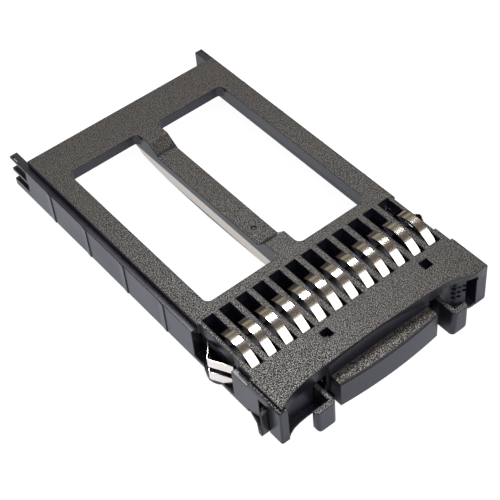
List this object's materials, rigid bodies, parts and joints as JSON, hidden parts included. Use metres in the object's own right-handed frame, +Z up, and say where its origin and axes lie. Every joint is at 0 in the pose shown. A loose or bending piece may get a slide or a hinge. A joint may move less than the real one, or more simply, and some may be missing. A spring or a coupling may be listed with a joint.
{
  "type": "hot swap drive caddy",
  "caption": "Black plastic caddy for a 2.5 inch drive bay: windowed plate on side rails, sprung contact fingers, squeeze latches and a front grip bar.",
  "frame": {"origin": "bottom centre of the whole caddy, latches included", "axes": "+Z up through the plate; -Y towards the front grip; +X to the right seen from the front"},
  "size_m": [0.0806, 0.1358, 0.0169],
  "materials": {
    "black_plastic": "moulded black plastic, spark-textured on its top faces and smooth on its sides",
    "contact_metal": "bright rolled stainless spring strip",
    "spring_steel": "plain drawn spring wire"
  },
  "bodies": {
    "tray": {"tray_body": "black_plastic", "latch_spring_left": "spring_steel", "latch_spring_right": "spring_steel", "contact_strip_top": "contact_metal", "contact_clip_left": "contact_metal", "contact_clip_right": "contact_metal"},
    "latch_left": {"latch_left": "black_plastic"},
    "latch_right": {"latch_right": "black_plastic"}
  },
  "joints": [
    {"name": "latch_left_squeeze", "type": "slide", "parent": "tray", "child": "latch_left", "axis": [1, 0, 0], "range_m": [0, 0.0026], "stiffness_N_per_m": 450, "springref_m": -0.003, "deforming": ["latch_spring_left"]},
    {"name": "latch_right_squeeze", "type": "slide", "parent": "tray", "child": "latch_right", "axis": [-1, 0, 0], "range_m": [0, 0.0026], "stiffness_N_per_m": 450, "springref_m": -0.003, "deforming": ["latch_spring_right"]}
  ]
}
